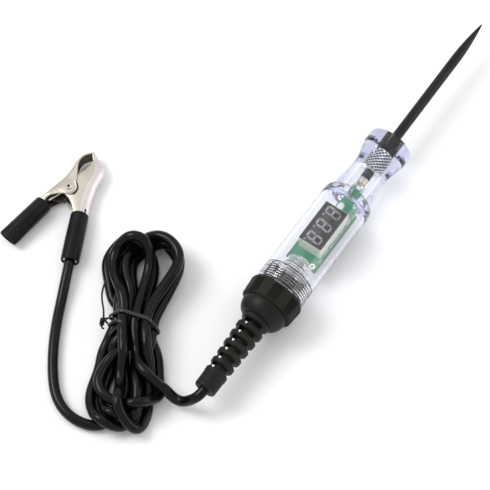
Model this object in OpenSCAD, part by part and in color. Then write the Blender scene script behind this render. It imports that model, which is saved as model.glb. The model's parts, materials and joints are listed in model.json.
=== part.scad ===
// Pen-shaped circuit test light with a digital display.
// A long probe, a clear body with its electronics inside, a screw cap,
// a ribbed strain relief, a tied hank of cord and an alligator clip.
// The pen lies along X with its tip toward +X. Units are millimetres.

/* [Probe] */
// Length of bare probe in front of the nose
probe_bare = 79; // [60:1:90]
// Length of the tapering point
probe_taper = 23.5; // [15:0.5:30]
// Diameter of the probe
probe_d = 4.6; // [4:0.1:5]

/* [Clear body] */
// Length from the nose flange to the shoulder
nose_len = 39.5; // [36:0.5:44]
// Diameter of the nose flange
flange_d = 21.8; // [20:0.2:24]
// Diameter of the waist behind the flange
waist_d = 17.2; // [16:0.2:18]
// Diameter of the neck in front of the shoulder
neck_d = 20; // [19:0.2:21]
// Length of the straight body
body_len = 53; // [51:0.5:56]
// Diameter of the straight body
body_d = 24.6; // [24:0.2:25.4]

/* [Screw cap and strain relief] */
// Diameter of the cap's front edge
cap_d = 26.4; // [26:0.1:28]
// Length of the cap
cap_len = 9.5; // [9:0.5:11]
// Length of the domed part behind the cap
dome_len = 7; // [6:0.5:9]
// Length of the ribbed part
ribs_len = 32.5; // [32:0.5:34]
// Number of grooves in the ribbed part
groove_count = 6; // [5:1:6]
// Length of the plain end sleeve
cuff_len = 7.5; // [6:0.5:10]

/* [Electronics] */
// Length of the display
display_len = 22.5; // [20:0.5:24]
// Width of the display
display_w = 11.5; // [10:0.5:12]
// Height of the display above the board
display_h = 7.8; // [6:0.1:8]
// Thickness of the circuit board
board_t = 1.2; // [1:0.1:1.6]

/* [Cord and clip] */
// Diameter of the cord
cord_d = 4.8; // [4.4:0.1:5]
// Height of the tied hank
hank_h = 13.2; // [12:0.2:15]
// Direction of the clip's jaws, in degrees from +X
clip_turn = 11; // [5:1:15]
// Thickness of the clip's sheet metal
sheet_t = 0.7; // [0.6:0.1:0.9]

/* [Hidden] */
facets = 96;
small_facets = 40;
hair = 0.02;

// Stations along the pen
pen_len = probe_bare + nose_len + body_len + cap_len + dome_len + ribs_len + cuff_len;
tip_x = pen_len / 2;
nose_x = tip_x - probe_bare;
shoulder_x = nose_x - nose_len;
seat_x = shoulder_x - body_len;
cap_rear_x = seat_x - cap_len;
neck_x = cap_rear_x - dome_len;
cuff_x = neck_x - ribs_len;
exit_x = cuff_x - cuff_len;
axis_z = cap_d / 2;

// Clear body
flange_r = flange_d / 2;
waist_r = waist_d / 2;
neck_r = neck_d / 2;
body_r = body_d / 2;
flange_t = 4.5;
waist_run = 12.5;
neck_run = 16.5;
shoulder_run = nose_len - flange_t - waist_run - neck_run;
insert_r = 3;
probe_held_r = probe_d / 2 - 0.4;
bush_lip = 0.8;
bush_len = 6.4;
nut_len = 12;
nut_rear_x = nose_x - bush_len - nut_len;
neck_bore_r = 5;
cavity_r = 10.4;
cavity_front_x = shoulder_x + 2.5;
cavity_round = 3.4;
thread_pitch = 1.25;
thread_turns = 7;
thread_depth = 0.6;

// Board and display
board_top_z = axis_z - 0.7;
board_rear_x = seat_x + 17.9;
board_front_x = cavity_front_x - 0.5;
board_half_w = 7.8;
tongue_x = nut_rear_x - 9;
tongue_half_w = 3;
display_front_x = shoulder_x - 5.5;
face_t = 0.3;
segment_t = 0.08;
digit_pitch = display_len / 3;
digit_h = 7.6;
digit_w = 4.2;
digit_slant = 8;
bar_w = 0.9;
led_r = 1.5;
led_x = display_front_x + 6;
led_y = 0.8;
led_z = board_top_z + 1.75;
pad_x = board_rear_x + 1.9;
pad_y = -5;

// Spring between the board and the cap
cup_front_x = board_rear_x - 0.2;
cup_r = 6.3;
coil_r = 5.4;
coil_wire_r = 0.3;
coil_front_x = cup_front_x - 1.5;
coil_rear_x = seat_x + 2.1;
coil_rings = 13;
disc_front_x = coil_rear_x - 0.45;
disc_t = 0.8;

// Cap and strain relief
cap_r = cap_d / 2;
cap_rear_r = cap_r - 0.6;
fit_gap = 0.1;
spigot_len = 5.4;
spigot_r = cavity_r - fit_gap;
plug_r = spigot_r - 1.3;
lip_t = 2.4;
lip_r = plug_r - 0.8;
dome_r = 11.2;
relief_neck_r = 6.8;
rib_front_r = 6.7;
rib_rear_r = 5.5;
groove_pitch = (ribs_len - 2) / groove_count;
groove_half_w = 1.15;
groove_depth = 0.9;
core_r = 3.3;
cuff_r = 5.2;

// Cord
cord_r = cord_d / 2;
hank_x = -102.5;
hank_y = 45.5;
hank_turn = 27.4;
cord_sides = 10;
front_route = [[exit_x, 0, axis_z], [-118, 0.6, 12.4], [-121, 4.6, 9.8],
    [-122.5, 10, 7.2], [-123, 15, 7.2], [-122.8, 20, 8.4]];
rear_route = [[-148, 25, 4.8], [-151, 31, 2.9], [-154, 38, 2.5], [-154, 46, 2.5],
    [-150.5, 54, 2.5], [-144, 60.5, 2.5], [-135.5, 67, 2.5], [-126, 73, 2.5],
    [-116, 78.2, 2.7], [-105, 83.3, 3.6], [-95.2, 87.9, 4.5], [-90.2, 90.3, 4.6]];

// Clip, in its own plan with the pivot at the origin and the tip toward +X
clip_x = -65;
clip_y = 110.3;
clip_z = 4.6;
moving_half_h = 4;
jaw_gap = 0.12;
fixed_half_h = moving_half_h - sheet_t - jaw_gap;
pivot_r = 1.2;
boss_r = 3.8;
sleeve_r = 4.6;
sleeve_bore_r = 3.8;
sleeve_len = 24;
crimp_len = 5;
fixed_handle_turn = 14.5;
moving_handle_turn = -17.5;
moving_outline = concat(
    [[20.9, -1.8], [20, -0.5], [18.6, 1], [16.4, 2.4], [13.8, 3.3], [10.9, 3.5],
    [6.4, 4.3], [3, 5.3], [-2.4, 7.5], [-8, 9.6], [-13, 11.6], [-28, 16.2],
    [-29, 13], [-14, 6.6], [-9.6, 7.2], [-7.3, 5.8], [-5.5, 3.7]],
    [for (a = [175:15:325]) [boss_r * cos(a), boss_r * sin(a)]],
    [[6.1, -1.3], [8.2, -0.5], [10.8, 0.5], [12.8, 1.1], [14.6, 1.2], [16.2, 0.9],
    [17.6, 0.1], [18.8, -1], [19.6, -2.1]]);
fixed_outline = concat(
    [[22.3, -2.5], [20.8, -4.5], [19.2, -6.7], [17.7, -8.7], [16.3, -10.1],
    [14.2, -11], [11.6, -11.4], [5.7, -11.2], [1.8, -11.7], [-1.5, -12.2],
    [-9.2, -14], [-14, -14.2], [-28, -17.2], [-29, -13.6], [-13, -9.2],
    [-10.7, -7.5], [-8.4, -5.9], [-6.4, -4.2], [-4.5, -1.6]],
    [for (a = [170:-20:30]) [boss_r * cos(a), boss_r * sin(a)]],
    [[4.6, 0.4], [7.7, -0.9], [10.8, -2.7], [12.6, -3.4], [14.8, -4.1],
    [17, -4.5], [18, -4], [19.6, -2.9]]);

// Turns a profile of [radius, x] points around the pen's axis
module turned(profile) {
    translate([0, 0, axis_z])
        rotate([0, 90, 0])
            rotate_extrude($fn = facets)
                polygon(profile);
}

// A plain rod or tube on the pen's axis, from x0 forward to x1
module sleeve_on_axis(x0, x1, outer, inner = 0) {
    turned([[inner, x0], [outer, x0], [outer, x1], [inner, x1]]);
}

module block(low, high) {
    translate(low)
        cube(high - low);
}

// Point at place s along a smooth curve through the route's points
function curve_point(route, s) =
    let (last = len(route) - 1,
        i = min(floor(s), last - 1),
        t = s - i,
        a = route[max(i - 1, 0)],
        b = route[i],
        c = route[i + 1],
        d = route[min(i + 2, last)])
    0.5 * (2 * b + (c - a) * t + (2 * a - 5 * b + 4 * c - d) * t * t
        + (3 * b - a - 3 * c + d) * t * t * t);

function unit(v) = v / norm(v);

// Closed round tube along a route
module cord_tube(route, radius, rings) {
    last = len(route) - 1;
    centres = [for (i = [0:rings - 1]) curve_point(route, last * i / (rings - 1))];
    ring_points = [for (i = [0:rings - 1])
        let (ahead = unit(centres[min(i + 1, rings - 1)] - centres[max(i - 1, 0)]),
            side = unit(cross(ahead, [0, 0, 1])),
            up = cross(side, ahead))
        for (k = [0:cord_sides - 1])
            let (a = 360 * (k + 0.5) / cord_sides)
            centres[i] + radius * (cos(a) * side + sin(a) * up)];
    walls = [for (i = [0:rings - 2]) for (k = [0:cord_sides - 1])
        let (n = (k + 1) % cord_sides)
        [i * cord_sides + k, i * cord_sides + n,
        (i + 1) * cord_sides + n, (i + 1) * cord_sides + k]];
    first_cap = [for (k = [cord_sides - 1:-1:0]) k];
    last_cap = [for (k = [0:cord_sides - 1]) (rings - 1) * cord_sides + k];
    polyhedron(points = ring_points, faces = concat([first_cap], walls, [last_cap]));
}

// Places a piece of the clip over its pivot
module on_clip() {
    translate([clip_x, clip_y, clip_z])
        rotate([0, 0, clip_turn])
            children();
}

// A straight run on a handle of the clip: local +Z runs from the pivot to the handle's end
module along_handle(start, turn) {
    on_clip()
        translate([start[0], start[1], 0])
            rotate([0, 0, 180 + turn])
                rotate([0, 90, 0])
                    children();
}

// Folded sheet-metal jaw: two cheeks joined by a web along one edge
module folded_jaw(outline, half_h, web_shift) {
    difference() {
        translate([0, 0, -half_h])
            linear_extrude(2 * half_h)
                polygon(outline);
        translate([web_shift[0], web_shift[1], sheet_t - half_h])
            linear_extrude(2 * (half_h - sheet_t))
                polygon(outline);
        cylinder(h = 3 * half_h, r = pivot_r + 0.05, center = true, $fn = small_facets);
    }
}

module body_shell() {
    steps = 10;
    waist_x = nose_x - flange_t - waist_run;
    neck_end_x = waist_x - neck_run;
    waist_curve = [for (i = [0:steps]) let (t = i / steps)
        [waist_r + (flange_r - waist_r) * (1 + cos(180 * t)) / 2,
        nose_x - flange_t - t * waist_run]];
    neck_curve = [for (i = [1:steps]) let (t = i / steps)
        [waist_r + (neck_r - waist_r) * (1 - cos(180 * t)) / 2,
        waist_x - t * neck_run]];
    shoulder_curve = [for (i = [1:steps]) let (a = 90 * i / steps)
        [neck_r + (body_r - neck_r) * sin(a),
        neck_end_x - shoulder_run * (1 - cos(a))]];
    thread = [for (i = [0:thread_turns - 1])
        each [[cavity_r, seat_x + thread_pitch * (i + 0.9)],
        [cavity_r + thread_depth, seat_x + thread_pitch * (i + 1.4)]]];
    cavity_end = [for (i = [0:steps]) let (a = 90 * i / steps)
        [cavity_r - cavity_round * (1 - cos(a)),
        cavity_front_x - cavity_round * (1 - sin(a))]];
    rear_edge = 0.4;
    color([0.85, 0.88, 0.95, 0.35])
        turned(concat(
            [[insert_r, nose_x], [flange_r - 0.8, nose_x], [flange_r - 0.2, nose_x - 0.3],
            [flange_r, nose_x - 1]],
            waist_curve, neck_curve, shoulder_curve,
            [[body_r, seat_x + rear_edge], [body_r - rear_edge, seat_x],
            [cavity_r + rear_edge, seat_x]],
            thread,
            [[cavity_r, seat_x + thread_pitch * (thread_turns + 0.9)]],
            cavity_end,
            [[neck_bore_r, cavity_front_x], [neck_bore_r, nut_rear_x],
            [insert_r, nut_rear_x]]));
}

module probe() {
    probe_r = probe_d / 2;
    point_r = 0.3;
    rear_x = nut_rear_x - 5.4;
    steps = 8;
    taper = [for (i = [0:steps]) let (t = i / steps)
        [point_r + (probe_r - point_r) * sin(90 * t) ^ 0.9, tip_x - 0.3 - t * (probe_taper - 0.3)]];
    step_x = nose_x + bush_lip + hair;
    color([0.12, 0.12, 0.12])
        turned(concat([[0, tip_x]], taper, [[probe_r, step_x], [probe_held_r, step_x],
            [probe_held_r, rear_x + 0.5], [probe_held_r - 0.5, rear_x], [0, rear_x]]));
}

module probe_bush() {
    bore_r = probe_held_r + hair;
    outer = insert_r - hair;
    color([0.08, 0.08, 0.08])
        turned([[bore_r, nose_x - bush_len + hair], [outer, nose_x - bush_len + hair],
            [outer, nose_x + 0.3], [bore_r + 0.3, nose_x + bush_lip],
            [bore_r, nose_x + bush_lip]]);
}

module knurled_nut() {
    bore_r = probe_held_r + hair;
    outer = insert_r - hair;
    front_x = nose_x - bush_len - hair;
    color([0.8, 0.8, 0.8])
        turned([[bore_r, nut_rear_x], [outer - 0.4, nut_rear_x], [outer, nut_rear_x + 0.4],
            [outer, front_x - 0.4], [outer - 0.4, front_x], [bore_r, front_x]]);
}

module contact_ferrule() {
    front_x = nut_rear_x - 5.4 - hair;
    color([0.75, 0.73, 0.68])
        turned([[0, tongue_x + 1], [1.1, tongue_x + 1], [1.1, front_x - 2.2],
            [1.7, front_x - 2], [1.7, front_x - 0.3], [1.4, front_x], [0, front_x]]);
}

module circuit_board() {
    notch_x = display_front_x + 0.4;
    notch_y = 3.4;
    corner = 3.4;
    outline = [[board_rear_x, -board_half_w], [board_front_x - corner, -board_half_w],
        [board_front_x, corner - board_half_w], [board_front_x, -tongue_half_w],
        [tongue_x, -tongue_half_w], [tongue_x, tongue_half_w],
        [board_front_x, tongue_half_w], [board_front_x, notch_y - 0.2], [board_front_x - 0.2, notch_y],
        [notch_x, notch_y], [notch_x, board_half_w], [board_rear_x, board_half_w]];
    color([0.1, 0.5, 0.3])
        difference() {
            translate([0, 0, board_top_z - board_t])
                linear_extrude(board_t)
                    polygon(outline);
            translate([pad_x, pad_y, board_top_z - 2 * board_t])
                cylinder(h = 3 * board_t, r = 0.5, $fn = small_facets);
            block([tongue_x - 1.6, -1.25, board_top_z - 2], [tongue_x + 1, 1.25, board_top_z + 1]);
        }
}

module display_housing() {
    rim = 0.12;
    low = [display_front_x - display_len, -display_w / 2, board_top_z];
    high = [display_front_x, display_w / 2, board_top_z + display_h];
    color([0.85, 0.88, 0.8])
        difference() {
            block(low, high);
            block([low[0] + rim, low[1] + rim, high[2] - face_t],
                [high[0] - rim, high[1] - rim, high[2] + 1]);
        }
}

module display_face() {
    rim = 0.14;
    top_z = board_top_z + display_h;
    color([0.2, 0.2, 0.21])
        block([display_front_x - display_len + rim, rim - display_w / 2, top_z - face_t],
            [display_front_x - rim, display_w / 2 - rim, top_z]);
}

// One bar of a digit, centred on the origin and running along X
module digit_bar(length) {
    half = length / 2 - 0.12;
    polygon([[-half, 0], [0.45 - half, bar_w / 2], [half - 0.45, bar_w / 2],
        [half, 0], [half - 0.45, -bar_w / 2], [0.45 - half, -bar_w / 2]]);
}

// A seven-bar digit with its point, upright along +Y
module digit_outline() {
    across = digit_w - bar_w;
    tall = (digit_h - bar_w) / 2;
    for (row = [-1:1])
        translate([-row * tall * tan(-digit_slant), row * tall])
            digit_bar(across);
    for (side = [-1, 1]) for (row = [-0.5, 0.5])
        translate([side * across / 2 + row * tall * tan(digit_slant), row * tall])
            rotate(90 - digit_slant)
                digit_bar(tall);
    translate([digit_w / 2 + 0.75, bar_w / 2 - digit_h / 2])
        circle(r = 0.5, $fn = 24);
}

module display_segments() {
    top_z = board_top_z + display_h;
    color([0.62, 0.62, 0.62])
        for (i = [0:2])
            translate([display_front_x - (i + 0.5) * digit_pitch + 0.2, 0, top_z])
                rotate([0, 0, 180])
                    linear_extrude(segment_t)
                        digit_outline();
}

module display_pins() {
    pin_count = 6;
    pin_pitch = 2.54;
    color([0.75, 0.73, 0.7])
        for (i = [0:pin_count - 1]) for (side = [-1, 1])
            translate([display_front_x - display_len / 2 + (i - (pin_count - 1) / 2) * pin_pitch,
                side * 3.81, board_top_z - board_t - 1.2])
                cylinder(h = 1.2, r1 = 0.35, r2 = 0.8, $fn = 24);
}

module indicator_led() {
    color([0.9, 0.93, 0.9, 0.6]) {
        translate([led_x - 5.3, led_y, led_z])
            rotate([0, 90, 0])
                rotate_extrude($fn = small_facets)
                    polygon(concat([[0, 0], [led_r + 0.2, 0], [led_r + 0.2, 0.8], [led_r, 0.8]],
                        [for (i = [0:8]) let (a = 90 * i / 8)
                            [led_r * cos(a), 3.8 + led_r * sin(a)]]));
        for (side = [-1, 1])
            block([led_x - 5.9, led_y + side * 0.9 - 0.2, board_top_z],
                [led_x - 5.3, led_y + side * 0.9 + 0.2, led_z + 0.2]);
    }
}

module control_chip() {
    chip_x = display_front_x - display_len / 2;
    under_z = board_top_z - board_t;
    color([0.1, 0.1, 0.1]) {
        block([chip_x - 4.4, -1.95, under_z - 1.6], [chip_x + 4.4, 1.95, under_z - 0.15]);
        for (i = [-3:3]) for (side = [-1, 1])
            block([chip_x + i * 1.27 - 0.2, side * 2.45 - 0.5, under_z - 0.7],
                [chip_x + i * 1.27 + 0.2, side * 2.45 + 0.5, under_z]);
    }
}

module chip_resistors() {
    under_z = board_top_z - board_t;
    color([0.15, 0.15, 0.17])
        for (i = [0:4])
            block([board_rear_x + 3 + i * 2.1, -7, under_z - 0.5],
                [board_rear_x + 4.3 + i * 2.1, -5, under_z]);
}

module solder_joints() {
    color([0.75, 0.76, 0.78])
        for (place = [[-0.9, -2.1], [-2.6, -2], [-5.5, 1.7], [-5.2, -1.6]])
            translate([tongue_x + place[0], place[1], board_top_z])
                cylinder(h = 0.8, r1 = 0.85, r2 = 0.3, $fn = 24);
}

module ground_pad() {
    color([0.9, 0.9, 0.85])
        translate([pad_x, pad_y, board_top_z])
            difference() {
                cylinder(h = 0.08, r = 1.35, $fn = small_facets);
                translate([0, 0, -1])
                    cylinder(h = 3, r = 0.65, $fn = small_facets);
            }
}

module spring_cup() {
    wall = 0.45;
    depth = 3.6;
    color([0.9, 0.92, 0.95, 0.5])
        turned([[1.5, cup_front_x - 1.1], [1.5, cup_front_x], [cup_r - 0.3, cup_front_x],
            [cup_r, cup_front_x - 0.3], [cup_r, cup_front_x - depth],
            [cup_r - wall, cup_front_x - depth], [cup_r - wall, cup_front_x - 1.1]]);
}

module ground_spring() {
    step = (coil_front_x - coil_rear_x) / (coil_rings - 1);
    color([0.75, 0.75, 0.75])
        for (i = [0:coil_rings - 1])
            translate([coil_front_x - i * step, 0, axis_z])
                rotate([0, 90, 0])
                    rotate_extrude($fn = facets)
                        translate([coil_r, 0])
                            circle(r = coil_wire_r, $fn = 16);
}

module contact_disc() {
    color([0.8, 0.65, 0.35])
        turned([[0, disc_front_x - disc_t], [5.9, disc_front_x - disc_t],
            [6.1, disc_front_x - disc_t / 2], [5.9, disc_front_x], [2, disc_front_x],
            [1.6, disc_front_x + 0.6], [0, disc_front_x + 0.6]]);
}

module rear_cap() {
    front_x = seat_x - fit_gap;
    lip_front_x = cap_rear_x + lip_t;
    zones = 8;
    grooves = 6;
    groove_step = 3.6;
    spigot = [for (i = [0:3])
        each [[spigot_r, front_x + 0.7 + thread_pitch * i],
        [spigot_r - 0.5, front_x + 1.2 + thread_pitch * i]]];
    color([0.14, 0.14, 0.13])
        difference() {
            turned(concat(
                [[lip_r + fit_gap, cap_rear_x], [cap_rear_r - 0.6, cap_rear_x],
                [cap_rear_r, cap_rear_x + 0.6], [cap_r, front_x - 1.2],
                [cap_r - 0.2, front_x - 0.5], [cap_r - 0.8, front_x], [spigot_r, front_x]],
                spigot,
                [[spigot_r - 0.1, seat_x + spigot_len], [plug_r + fit_gap, seat_x + spigot_len],
                [plug_r + fit_gap, lip_front_x], [lip_r + fit_gap, lip_front_x]]));
            for (zone = [0:zones - 1]) for (k = [0:grooves - 1])
                translate([0, 0, axis_z])
                    rotate([zone * 360 / zones + k * groove_step, 0, 0])
                        translate([cap_rear_x - 1, -0.24, cap_rear_r - 0.28])
                            cube([cap_len - 0.4, 0.48, 3]);
        }
}

module strain_relief() {
    lip_front_x = cap_rear_x + lip_t;
    plug_front_x = disc_front_x - disc_t - hair;
    plug_rear_x = lip_front_x + fit_gap;
    dome_front_x = cap_rear_x - fit_gap;
    steps = 8;
    dome = [for (i = [0:steps]) let (a = 90 * i / steps)
        [relief_neck_r + (dome_r - relief_neck_r) * cos(a),
        dome_front_x - (dome_front_x - neck_x) * sin(a)]];
    groove_x = [for (i = [0:groove_count - 1]) neck_x - 3.3 - i * groove_pitch];
    grooves = [for (i = [0:groove_count - 1])
        let (rib = rib_front_r + (rib_rear_r - rib_front_r) * i / (groove_count - 1))
        each [[rib, groove_x[i] + groove_half_w + 0.5],
        [rib - 0.25, groove_x[i] + groove_half_w + 0.15],
        [rib - groove_depth, groove_x[i] + groove_half_w - 0.3],
        [rib - groove_depth, groove_x[i] - groove_half_w + 0.3],
        [rib - 0.35, groove_x[i] - groove_half_w - 0.15],
        [rib - 0.1, groove_x[i] - groove_half_w - 0.5]]];
    color([0.13, 0.13, 0.12])
        difference() {
            turned(concat(
                [[0, plug_front_x], [plug_r, plug_front_x], [plug_r, plug_rear_x],
                [lip_r, plug_rear_x], [lip_r, dome_front_x]],
                dome, grooves,
                [[rib_rear_r - 0.1, cuff_x + 0.2], [cuff_r, cuff_x - 0.2],
                [cuff_r - 0.05, exit_x + 0.9], [cuff_r - 0.3, exit_x + 0.25],
                [cuff_r - 0.9, exit_x], [0, exit_x]]));
            for (i = [0:groove_count - 1]) {
                intersection() {
                    sleeve_on_axis(groove_x[i] - groove_half_w + 0.1,
                        groove_x[i] + groove_half_w - 0.1, 9, core_r);
                    block([cuff_x - 5, -10, 0], [neck_x + 5, core_r + 0.3, 2 * axis_z]);
                }
                translate([groove_x[i] + 0.4, core_r + 0.1, axis_z])
                    rotate([16, -22.7, 0])
                        cylinder(h = 20, r = 0.85, center = true, $fn = small_facets);
            }
        }
}

module cord_front() {
    color([0.06, 0.06, 0.06])
        cord_tube(front_route, cord_r, 13);
}

module cord_rear() {
    color([0.06, 0.06, 0.06])
        cord_tube(rear_route, cord_r, 27);
}

// Outline of the tied hank: two rounded lobes that meet in a waist
module hank_outline() {
    waist = 9.6;
    top_lobe = [for (a = [-110:10:110]) [29 + 20.5 * cos(a), 1.2 + 18.6 * sin(a)]];
    low_lobe = [for (a = [70:10:290]) [20.5 * cos(a) - 31, 16.4 * sin(a)]];
    polygon(concat([[2.5, -waist]], top_lobe, [[2.5, waist], [-2.5, waist]],
        low_lobe, [[-2.5, -waist]]));
}

module on_hank() {
    translate([hank_x, hank_y, 0])
        rotate([0, 0, hank_turn])
            children();
}

module cord_hank() {
    tie_room = 0.7;
    color([0.06, 0.06, 0.06])
        on_hank()
            difference() {
                linear_extrude(hank_h)
                    hank_outline();
                for (z = [-1, hank_h - tie_room])
                    block([-2, -12, z], [2, 12, z + 1 + tie_room]);
            }
}

module twist_tie() {
    half_w = 10.3;
    wall = 0.6;
    tail_r = 0.9;
    color([0.09, 0.09, 0.09])
        on_hank() {
            difference() {
                block([-1.7, -half_w, 0], [1.7, half_w, hank_h]);
                block([-3, wall - half_w, wall], [3, half_w - wall, hank_h - wall]);
            }
            translate([0, half_w - 0.1, hank_h / 2])
                rotate([-90, 0, 0])
                    cylinder(h = 4.6, r = tail_r, $fn = 24);
            translate([-0.4, half_w + 3.6, hank_h / 2])
                rotate([0, 90, 0])
                    cylinder(h = 12, r = tail_r - 0.1, $fn = 24);
        }
}

module jaw_fixed() {
    color([0.78, 0.75, 0.66])
        on_clip()
            difference() {
                folded_jaw(fixed_outline, fixed_half_h, [-0.4, sheet_t + 0.1]);
                translate([-8.2, -13, 0])
                    rotate([0, 0, 15])
                        block([-1.4, -2, -0.6], [1.4, 1.4, 0.6]);
            }
}

module jaw_moving() {
    color([0.8, 0.77, 0.68])
        on_clip()
            folded_jaw(moving_outline, moving_half_h, [-0.4, -sheet_t - 0.15]);
}

module pivot_rivet() {
    head_z = moving_half_h + 0.06;
    head_t = 0.5;
    color([0.82, 0.8, 0.74])
        on_clip()
            rotate_extrude($fn = small_facets)
                polygon([[0, -head_z - head_t], [1.3, -head_z - head_t], [1.75, -head_z - 0.15],
                    [1.75, -head_z], [pivot_r, -head_z], [pivot_r, head_z], [1.75, head_z],
                    [1.75, head_z + 0.15], [1.3, head_z + head_t], [0.7, head_z + head_t],
                    [0.7, head_z + 0.1], [0, head_z + 0.1]]);
}

module clip_spring() {
    wire_r = 0.4;
    turns = 5;
    step = 0.86;
    color([0.6, 0.56, 0.5])
        on_clip() {
            for (i = [0:turns - 1])
                translate([0, 0, (i - (turns - 1) / 2) * step])
                    rotate_extrude($fn = small_facets)
                        translate([2.2, 0])
                            circle(r = wire_r, $fn = 16);
            translate([-0.9, -2.1, -2 * step])
                rotate([0, 0, 233])
                    rotate([0, 90, 0])
                        cylinder(h = 11, r = wire_r, $fn = 16);
        }
}

module spring_leg() {
    wire_r = 0.4;
    color([0.6, 0.56, 0.5])
        on_clip()
            translate([-2.6, 2.4, 1.7])
                rotate([0, 0, 141])
                    rotate([0, 90, 0])
                        cylinder(h = 6.4, r = wire_r, $fn = 16);
}

// Soft sleeve over a handle, open at both ends
module handle_sleeve(start, turn) {
    along_handle(start, turn)
        difference() {
            cylinder(h = sleeve_len, r = sleeve_r, $fn = facets);
            translate([0, 0, -1])
                cylinder(h = sleeve_len + 2, r = sleeve_bore_r, $fn = facets);
        }
}

module sleeve_fixed() {
    color([0.1, 0.1, 0.1])
        handle_sleeve([-9.6, -10], fixed_handle_turn);
}

module sleeve_moving() {
    color([0.1, 0.1, 0.1])
        handle_sleeve([-10.8, 7.6], moving_handle_turn);
}

module wire_crimp() {
    color([0.78, 0.75, 0.66])
        along_handle([-9.6, -10], fixed_handle_turn)
            translate([0, 0, sleeve_len - crimp_len - 0.6])
                difference() {
                    cylinder(h = crimp_len, r = sleeve_bore_r - hair, $fn = small_facets);
                    translate([0, 0, -1])
                        cylinder(h = crimp_len + 2, r = cord_r + hair, $fn = small_facets);
                }
}

body_shell();
probe();
probe_bush();
knurled_nut();
contact_ferrule();
circuit_board();
display_housing();
display_face();
display_segments();
display_pins();
indicator_led();
control_chip();
chip_resistors();
solder_joints();
ground_pad();
spring_cup();
ground_spring();
contact_disc();
rear_cap();
strain_relief();
cord_front();
cord_hank();
cord_rear();
twist_tie();
jaw_fixed();
jaw_moving();
pivot_rivet();
clip_spring();
spring_leg();
sleeve_fixed();
sleeve_moving();
wire_crimp();
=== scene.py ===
import json
import math
import random

import bpy
import numpy as np
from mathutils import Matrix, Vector


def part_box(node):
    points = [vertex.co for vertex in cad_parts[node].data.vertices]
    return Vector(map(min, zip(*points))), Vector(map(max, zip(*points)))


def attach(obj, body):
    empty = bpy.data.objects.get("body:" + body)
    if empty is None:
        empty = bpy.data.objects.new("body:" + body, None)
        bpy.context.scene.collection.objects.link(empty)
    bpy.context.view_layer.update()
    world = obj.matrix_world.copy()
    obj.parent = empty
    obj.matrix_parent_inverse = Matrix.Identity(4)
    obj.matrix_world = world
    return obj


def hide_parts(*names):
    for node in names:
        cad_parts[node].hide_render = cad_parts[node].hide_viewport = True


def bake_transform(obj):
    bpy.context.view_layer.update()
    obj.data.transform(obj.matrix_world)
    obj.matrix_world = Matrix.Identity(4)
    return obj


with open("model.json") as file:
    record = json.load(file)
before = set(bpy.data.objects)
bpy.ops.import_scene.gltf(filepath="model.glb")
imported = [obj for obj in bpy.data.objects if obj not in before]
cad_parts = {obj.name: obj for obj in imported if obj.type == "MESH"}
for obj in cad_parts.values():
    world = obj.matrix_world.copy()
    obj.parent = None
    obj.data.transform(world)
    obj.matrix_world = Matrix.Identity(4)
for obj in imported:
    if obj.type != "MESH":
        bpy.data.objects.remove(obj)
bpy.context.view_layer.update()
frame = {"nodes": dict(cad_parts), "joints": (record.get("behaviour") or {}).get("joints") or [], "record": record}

MM = 0.001
nodes = frame["nodes"]
joints = {j["name"]: j for j in frame["joints"]}


def mid(node):
    """The middle of a CAD node's box."""
    low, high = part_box(node)
    return (low + high) / 2


# ---- Places taken from the frame -------------------------------------------------

axis_z = mid("body_shell").z
nose_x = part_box("body_shell")[1].x
pivot = Vector(joints["clip_pivot"]["pos_m"])


# ---- Camera ----------------------------------------------------------------------

VIEW_AZIMUTH = math.radians(-55.34)
VIEW_ELEVATION = math.radians(63)
VIEW_DISTANCE = 1.0
VIEW_LENS = 163.8
VIEW_TARGET = Vector((-0.0458, 0.0256, 0.013))


def make_camera():
    """Looks down on the pen from behind its cord end, as the photograph does."""
    ground = math.cos(VIEW_ELEVATION)
    look = Vector((-math.sin(VIEW_AZIMUTH) * ground, math.cos(VIEW_AZIMUTH) * ground,
                   -math.sin(VIEW_ELEVATION)))
    data = bpy.data.cameras.new("camera")
    data.lens = VIEW_LENS
    data.sensor_width = 36
    data.clip_start = 0.01
    camera = bpy.data.objects.new("camera", data)
    camera.location = VIEW_TARGET - look * VIEW_DISTANCE
    camera.rotation_euler = look.to_track_quat("-Z", "Y").to_euler()
    bpy.context.scene.collection.objects.link(camera)
    bpy.context.scene.camera = camera


# ---- Cord ------------------------------------------------------------------------

# Millimetres across one strand
STRAND = 4.8
CORD_D = STRAND * MM
CORD_R = CORD_D / 2
HANK_MID = np.array([-102.5, 45.5]) * MM
HANK_TURN = math.radians(27.4)
# The run from the pen to the tie, and the run from the hank to the clip's sleeve
FRONT_ROUTE = np.array([
    (-114, 0, 13.2), (-118, 0.6, 12.4), (-121, 4.6, 9.8), (-122.5, 10, 7.2),
    (-123, 15, 7.2), (-122.8, 20, 8.4), (-120.2, 28, 10.5), (-115.5, 34.8, 12),
    (-109.5, 40.3, 11.8)]) * MM
REAR_ROUTE = np.array([
    (-151, 31, 2.9), (-154, 38, 2.5), (-154, 46, 2.5), (-150.5, 54, 2.5), (-144, 60.5, 2.5),
    (-135.5, 67, 2.5), (-126, 73, 2.5), (-116, 78.2, 2.7), (-105, 83.3, 3.6),
    (-95.2, 87.9, 4.5), (-90.2, 90.3, 4.6)]) * MM
# Strands packed in the tie: three rows, as (across in strands, row) for each pass in turn
TIE_PASSES = [(0, 2), (1, 2), (-1, 2), (0.5, 1), (-1.5, 1), (0, 0), (-1, 0), (1.5, 1),
              (-0.5, 1), (1, 0)]
ROW_Z = [2.45, 6.65, 10.8]
# Half the length of hank that runs straight through the tie, and what the tie holds:
# everything so near the hank's middle along it and across it
TIE_HALF = 3.0
HELD_ALONG = 3.2 * MM
HELD_ACROSS = 12 * MM
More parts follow.
